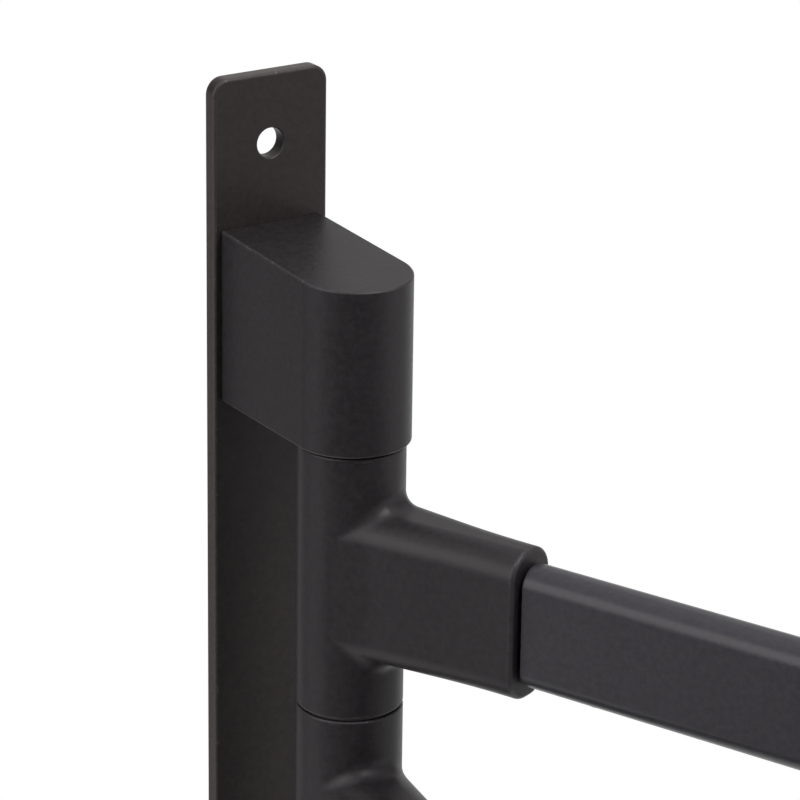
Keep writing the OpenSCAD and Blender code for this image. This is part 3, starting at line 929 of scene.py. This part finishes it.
def studio():
    """A dim room with a bright ceiling. Camera, gloss and glass see the white backdrop behind the part."""
    world = bpy.data.worlds.new("studio")
    bpy.context.scene.world = world
    world.use_nodes = True
    room = Nodes(world.node_tree)
    sight = room.node("ShaderNodeTexCoord", {}, {}, "Generated")

    def zone(middle, start, full):
        """How far a direction lies in a zone, from 0 to 1."""
        nearness = room.node("ShaderNodeVectorMath", {"operation": "DOT_PRODUCT"}, {0: sight, 1: middle}, 1)
        return room.node("ShaderNodeMapRange", {"interpolation_type": "SMOOTHSTEP"}, {
            "Value": nearness, "From Min": start, "From Max": full})

    ceiling = zone(*CEILING_ZONE)
    backdrop = zone(*BACKDROP_ZONE)
    camera_ray, glossy_ray, clear_ray = room.rays()
    light = ROOM_LIGHT + ceiling * CEILING_LIGHT + backdrop * BACKDROP_LIGHT
    dim = room.node("ShaderNodeBackground", {}, {"Color": WHITE, "Strength": light})
    white = room.node("ShaderNodeBackground", {}, {"Color": WHITE, "Strength": 1.0})
    seen = room.node("ShaderNodeMixShader", {}, {
        0: camera_ray + clear_ray + glossy_ray * backdrop, 1: dim, 2: white})
    room.feed(room.tree.nodes["World Output"].inputs["Surface"], seen)
    for name, settings in LAMPS.items():
        soft_light(name, *settings)


def pale_floor():
    """The floor, well below a part on a wall: white but for its shadows, and clear from below."""
    bm = bmesh.new()
    bmesh.ops.create_circle(bm, cap_ends=True, segments=ROUND_STEPS, radius=FLOOR_R)
    bmesh.ops.translate(bm, verts=bm.verts, vec=FLOOR_MIDDLE)
    obj = mesh_object(bm, "floor")
    obj.data.transform(Matrix.Scale(MM, 4))
    if obj.data.polygons[0].normal.z < 0:
        obj.data.flip_normals()
    paint = Finish("pale_floor", None, {
        "Base Color": (*FLOOR_TONE, 1), "Roughness": 0.9, "Emission Strength": 1.0})
    camera_ray, glossy_ray, clear_ray = paint.rays()
    paint.set("Emission Color", paint.between(camera_ray + glossy_ray + clear_ray, (0, 0, 0), FLOOR_GLOW))
    underside = paint.node("ShaderNodeNewGeometry", {}, {}, "Backfacing")
    clear = paint.node("ShaderNodeBsdfTransparent", {}, {})
    top = Field(paint, paint.shader.outputs["BSDF"])
    skin = paint.node("ShaderNodeMixShader", {}, {0: underside, 1: top, 2: clear})
    paint.feed(paint.tree.nodes["Material Output"].inputs["Surface"], skin)
    obj.data.materials.append(paint.material)


def photo_camera():
    """The photograph's view, solved from the plate, the bracket's nose, the hubs and the top bar."""
    azimuth, elevation, roll_degrees = CAMERA_TURNS
    roll = math.radians(roll_degrees)
    distance, aside, above = (length * MM for length in CAMERA_PLACE)
    anchor = Vector((0, -PLATE_T, PLATE_H / 2)) * MM
    back = outward(azimuth, elevation)
    level = Vector((0, 0, 1)).cross(back).normalized()
    upright = back.cross(level)
    right = math.cos(roll) * level + math.sin(roll) * upright
    up = -math.sin(roll) * level + math.cos(roll) * upright
    data = bpy.data.cameras.new("photo_camera")
    data.sensor_width = CAMERA_SENSOR
    data.lens = CAMERA_LENS
    data.clip_start, data.clip_end = CAMERA_CLIPS
    camera = bpy.data.objects.new("photo_camera", data)
    turn = Matrix((right, up, back)).transposed().to_4x4()
    camera.matrix_world = Matrix.Translation(anchor + back * distance - right * aside - up * above) @ turn
    bpy.context.scene.collection.objects.link(camera)
    bpy.context.scene.camera = camera


# The part

bpy.context.scene.view_settings.view_transform = "Standard"
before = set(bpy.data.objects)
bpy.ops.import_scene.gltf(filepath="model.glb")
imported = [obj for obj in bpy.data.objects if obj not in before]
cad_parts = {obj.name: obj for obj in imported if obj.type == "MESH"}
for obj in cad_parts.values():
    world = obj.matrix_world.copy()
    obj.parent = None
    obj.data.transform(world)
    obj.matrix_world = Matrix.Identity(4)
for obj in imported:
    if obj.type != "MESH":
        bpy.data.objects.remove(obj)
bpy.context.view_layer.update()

plate_coat = satin_coat("satin_black_plate_coat", "coat", PLATE_TONES, roughness=0.43,
                        side_highlight=PLATE_SIDE_HIGHLIGHT_TONE)
coat = satin_coat("satin_black_coat", "coat", COAT_TONES, roughness=0.44)
bar_coat = satin_coat("satin_black_bar_coat", "bar_coat", BAR_TONES, roughness=0.33)
cap_plastic = moulded_plastic("black_cap_plastic", "cap_plastic", CAP_TONES, roughness=0.5)
nylon = moulded_plastic("dark_nylon", "nylon", NYLON_TONES, roughness=0.45)
shaft_steel = turned_steel("ground_steel", "shaft_steel", STEEL_TONES, roughness=0.28)
zinc = turned_steel("zinc_plate", "zinc_screw", ZINC_TONES, roughness=0.33)

finish_piece(wall_plate(), "wall_mount", plate_coat, ["wall_plate"])
for side in BRACKET_ENDS:
    finish_piece(bracket(side), "wall_mount", coat, [side + "_bracket"])
    finish_piece(bracket_screws(side), "wall_mount", zinc, [side + "_bracket_screws"], SCREW_SHARP)
finish_piece(shaft_screw(), "wall_mount", zinc, ["shaft_screw"], SCREW_SHARP)
for arm in ARM_TURNS:
    body = arm + "_arm"
    finish_piece(arm_hub(arm), body, coat, [body + "_hub"])
    finish_piece(arm_bar(arm), body, bar_coat, [body + "_bar"])
    finish_piece(arm_end_cap(arm), body, cap_plastic, [body + "_end_cap"])
    finish_piece(set_screw(arm), body, zinc, [body + "_set_screw"], SCREW_SHARP)

# The solids that stay: the shaft, the bushes and the washers
kept = {"pivot_shaft": shaft_steel}
kept.update({"thrust_washer_" + str(k + 1): nylon for k in range(WASHERS)})
kept.update({arm + "_arm_" + level + "_bush": nylon for arm in ARM_TURNS for level in ("upper", "lower")})
for node, finish in kept.items():
    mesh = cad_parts[node].data
    mesh.materials.clear()
    mesh.materials.append(finish.material)

pale_floor()
studio()
photo_camera()
